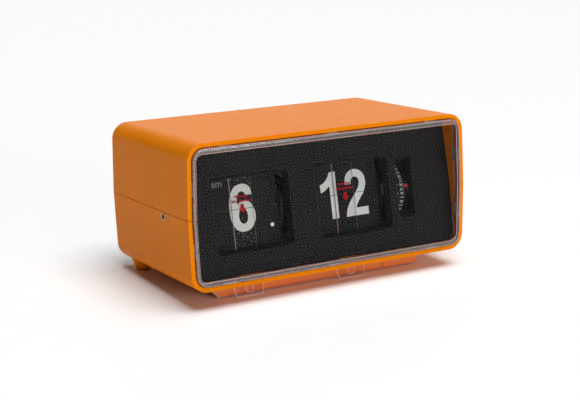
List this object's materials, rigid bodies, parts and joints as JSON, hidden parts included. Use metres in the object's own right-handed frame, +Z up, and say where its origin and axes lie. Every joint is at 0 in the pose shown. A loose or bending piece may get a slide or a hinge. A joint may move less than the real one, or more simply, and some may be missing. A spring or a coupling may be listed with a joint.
{
  "type": "flip number clock",
  "caption": "Table clock radio in a rounded tube case with split-leaf hour and minute drums, an alarm wheel, side knobs and a battery door.",
  "frame": {"origin": "centre of the bounding box at table height", "axes": "+X to the right seen from the front, +Y towards the back, +Z up; the display faces -Y"},
  "size_m": [0.2124, 0.1162, 0.101],
  "materials": {
    "orange": "smooth semi-gloss moulded plastic",
    "black_panel": "fine matt",
    "black_knob": "satin",
    "leaf": "matt printed film",
    "clear": "clear polished",
    "film": "clear thin film",
    "nylon": "natural nylon",
    "pad": "matt",
    "steel": "drawn steel",
    "plated": "bright plating",
    "spring": "rolled strip",
    "board": "solder mask",
    "red_paint": "gloss",
    "copper": "enamelled wire",
    "ferrite": "sintered",
    "cell": "printed sleeve",
    "cone": "pressed pulp",
    "bulb": "clear"
  },
  "bodies": {
    "case": {"upper_shell": "orange", "lower_shell": "orange", "case_posts": "orange", "front_plinth": "orange", "plinth_pads": "pad", "rear_feet": "orange", "rear_foot_pads": "pad", "case_screws": "steel", "front_lens": "clear", "front_panel": "black_panel", "rear_panel": "black_panel", "battery_tray": "black_panel", "battery_cells": "cell", "battery_contacts": "spring", "frame_plate_left": "steel", "frame_plate_hour": "steel", "frame_plate_centre": "steel", "frame_plate_right": "steel", "frame_spacers": "steel", "leaf_retainers": "spring", "minute_leaves_waiting": "leaf", "minute_leaves_shown": "leaf", "hour_leaves_waiting": "leaf", "hour_leaves_shown": "leaf", "motor_body": "steel", "alarm_pointer": "red_paint", "alarm_switch": "spring", "lamp_holder": "nylon", "lamp_bulb": "bulb", "circuit_board": "board", "board_parts": "black_knob", "ferrite_rod": "ferrite", "ferrite_coil": "copper", "speaker_frame": "steel", "speaker_cone": "cone", "earphone_socket": "plated", "hour_film": "film", "minute_film": "film", "clear_strip": "film"},
    "minute_works": {"main_shaft": "steel", "minute_drum": "black_knob", "minute_gear": "nylon", "shaft_pinion": "nylon", "time_knob": "black_knob"},
    "hour_works": {"hour_drum": "black_knob", "hour_gear": "nylon"},
    "lay_works": {"lay_shaft": "steel", "lay_gear": "nylon", "lay_pinion": "nylon"},
    "motor_rotor": {"motor_pinion": "nylon"},
    "minute_leaf": {"minute_flip_leaf": "leaf"},
    "hour_leaf": {"hour_flip_leaf": "leaf"},
    "alarm_works": {"alarm_wheel": "black_knob", "alarm_sleeve": "nylon", "alarm_knob": "black_knob"},
    "volume": {"volume_knob": "black_knob"},
    "tuning": {"tuning_knob": "black_knob"},
    "function": {"function_slider": "black_knob"},
    "door": {"battery_door": "black_panel"}
  },
  "joints": [
    {"name": "minute_drum_turn", "type": "hinge", "parent": "case", "child": "minute_works", "pos_m": [-0.00585, -0.01639, 0.04726], "axis": [1, 0, 0], "continuous": true},
    {"name": "hour_drum_turn", "type": "hinge", "parent": "case", "child": "hour_works", "pos_m": [-0.05585, -0.01639, 0.04726], "axis": [1, 0, 0], "continuous": true},
    {"name": "lay_gear_turn", "type": "hinge", "parent": "case", "child": "lay_works", "pos_m": [-0.02585, 0.00412, 0.04275], "axis": [1, 0, 0], "continuous": true},
    {"name": "motor_pinion_turn", "type": "hinge", "parent": "case", "child": "motor_rotor", "pos_m": [-0.01385, 0.0013, 0.05857], "axis": [1, 0, 0], "continuous": true},
    {"name": "minute_leaf_flip", "type": "hinge", "parent": "case", "child": "minute_leaf", "pos_m": [0.01715, -0.0318, 0.05259], "axis": [1, 0, 0], "range_deg": [0, 180], "deforming": ["minute_film"]},
    {"name": "hour_leaf_flip", "type": "hinge", "parent": "case", "child": "hour_leaf", "pos_m": [-0.05685, -0.0318, 0.05259], "axis": [1, 0, 0], "range_deg": [0, 180], "deforming": ["hour_film"]},
    {"name": "alarm_wheel_turn", "type": "hinge", "parent": "case", "child": "alarm_works", "pos_m": [0.05715, -0.01639, 0.04726], "axis": [1, 0, 0], "continuous": true},
    {"name": "volume_knob_turn", "type": "hinge", "parent": "case", "child": "volume", "pos_m": [0.09415, 0.02673, 0.06989], "axis": [1, 0, 0], "range_deg": [0, 270]},
    {"name": "tuning_knob_turn", "type": "hinge", "parent": "case", "child": "tuning", "pos_m": [0.09415, 0.02495, 0.03594], "axis": [1, 0, 0], "range_deg": [-135, 135]},
    {"name": "function_slide", "type": "slide", "parent": "case", "child": "function", "axis": [0, 0.9986, -0.0523], "range_m": [-0.0045, 0.0045]},
    {"name": "battery_door_swing", "type": "hinge", "parent": "case", "child": "door", "pos_m": [0.04115, 0.05241, 0.02478], "axis": [-1, 0, 0], "range_deg": [0, 100]}
  ],
  "couplings": [
    {"joint": "hour_drum_turn", "follows": "minute_drum_turn", "ratio": 0.041667},
    {"joint": "lay_gear_turn", "follows": "minute_drum_turn", "ratio": -0.25},
    {"joint": "motor_pinion_turn", "follows": "minute_drum_turn", "ratio": -6}
  ]
}
